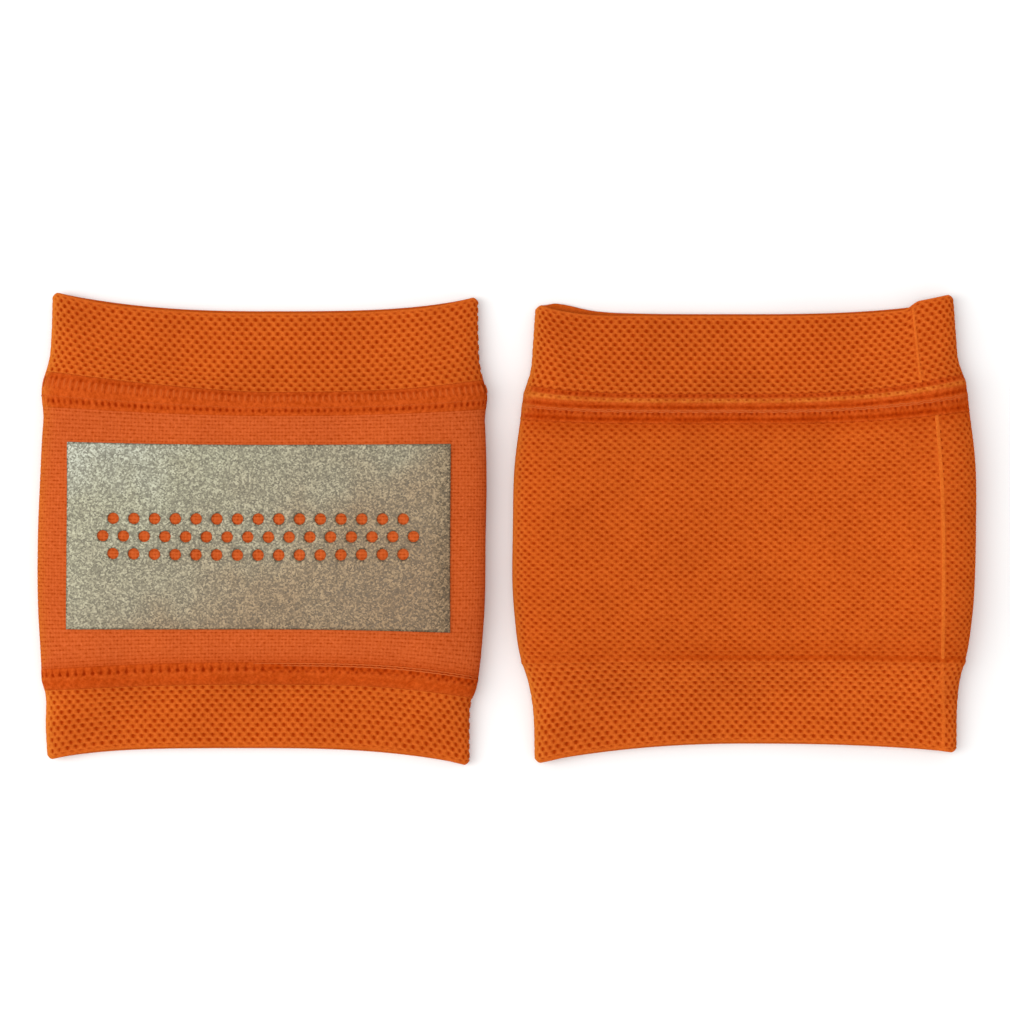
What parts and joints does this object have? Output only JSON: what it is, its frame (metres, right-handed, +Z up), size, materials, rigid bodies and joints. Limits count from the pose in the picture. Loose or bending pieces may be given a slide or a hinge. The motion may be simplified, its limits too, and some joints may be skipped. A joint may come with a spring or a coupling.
{
  "type": "knee pads",
  "caption": "Pair of soft pull-on knee pads: eyelet-knit sleeves with a padded woven front and a reflective panel, lying flat side by side.",
  "frame": {"origin": "on the surface that the pads lie on, below the middle of the outline of the pair", "axes": "+X across the pair towards the pad that lies face down, +Y towards the thigh end of both pads, +Z up"},
  "size_m": [0.2802, 0.1402, 0.0145],
  "materials": {
    "eyelet_knit": "matt orange eyelet mesh knit",
    "woven_stretch": "slightly lustrous orange woven stretch cloth",
    "seam_thread": "orange overlock and cover-stitch thread",
    "reflective_film": "grey-silver glass-bead reflective transfer",
    "foam": "closed-cell foam sheet"
  },
  "bodies": {
    "left_pad": {"left_main_sleeve": "eyelet_knit", "left_sleeve_closing_seam": "seam_thread", "left_upper_cuff": "eyelet_knit", "left_cuff_closing_seam": "seam_thread", "left_front_panel": "woven_stretch", "left_foam_pad": "foam", "left_reflective_film": "reflective_film", "left_front_top_seam": "seam_thread", "left_back_top_seam": "seam_thread", "left_front_low_seam": "seam_thread"},
    "right_pad": {"right_main_sleeve": "eyelet_knit", "right_sleeve_closing_seam": "seam_thread", "right_upper_cuff": "eyelet_knit", "right_cuff_closing_seam": "seam_thread", "right_front_panel": "woven_stretch", "right_foam_pad": "foam", "right_reflective_film": "reflective_film", "right_front_top_seam": "seam_thread", "right_back_top_seam": "seam_thread", "right_front_low_seam": "seam_thread"}
  },
  "joints": [
    {"name": "right_pad_lift", "type": "slide", "parent": "left_pad", "child": "right_pad", "axis": [0, 0, 1], "range_m": [0, 0.12]}
  ]
}
